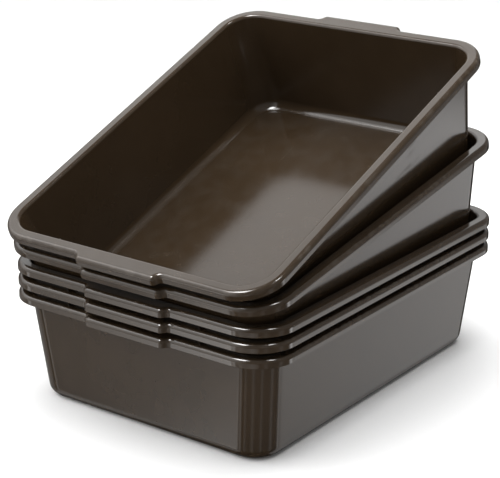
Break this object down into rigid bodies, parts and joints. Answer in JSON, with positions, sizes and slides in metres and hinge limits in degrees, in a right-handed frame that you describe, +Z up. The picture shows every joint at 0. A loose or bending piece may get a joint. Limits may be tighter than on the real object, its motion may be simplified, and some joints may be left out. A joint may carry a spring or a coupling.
{
  "type": "tool storage caddy",
  "caption": "Caddy of thin moulded nesting tubs with flanged rims and end grips; the upper tubs are tipped up at the back, so the top one is an open sloping tray for tools.",
  "frame": {"origin": "middle of the flat underside of the bottom tub", "axes": "+Z up; -Y towards the low front end, where the tipped tubs' rims meet; +X to the right seen from the front"},
  "size_m": [0.325, 0.4555, 0.3357],
  "materials": {
    "moulded_plastic": "gloss"
  },
  "bodies": {
    "bottom_tub": {"bottom_tub": "moulded_plastic"},
    "second_tub": {"second_tub": "moulded_plastic"},
    "third_tub": {"third_tub": "moulded_plastic"},
    "fourth_tub": {"fourth_tub": "moulded_plastic"},
    "top_tub": {"top_tub": "moulded_plastic"}
  },
  "joints": [
    {"name": "second_lift", "type": "slide", "parent": "bottom_tub", "child": "second_tub", "axis": [0, 0, 1], "range_m": [0, 0.15]},
    {"name": "third_lift", "type": "slide", "parent": "second_tub", "child": "third_tub", "axis": [0, 0, 1], "range_m": [0, 0.15]},
    {"name": "fourth_lift", "type": "slide", "parent": "third_tub", "child": "fourth_tub", "axis": [0, 0, 1], "range_m": [0, 0.15]},
    {"name": "top_lift", "type": "slide", "parent": "fourth_tub", "child": "top_tub", "axis": [0, -0.1616, 0.9869], "range_m": [0, 0.15]}
  ]
}
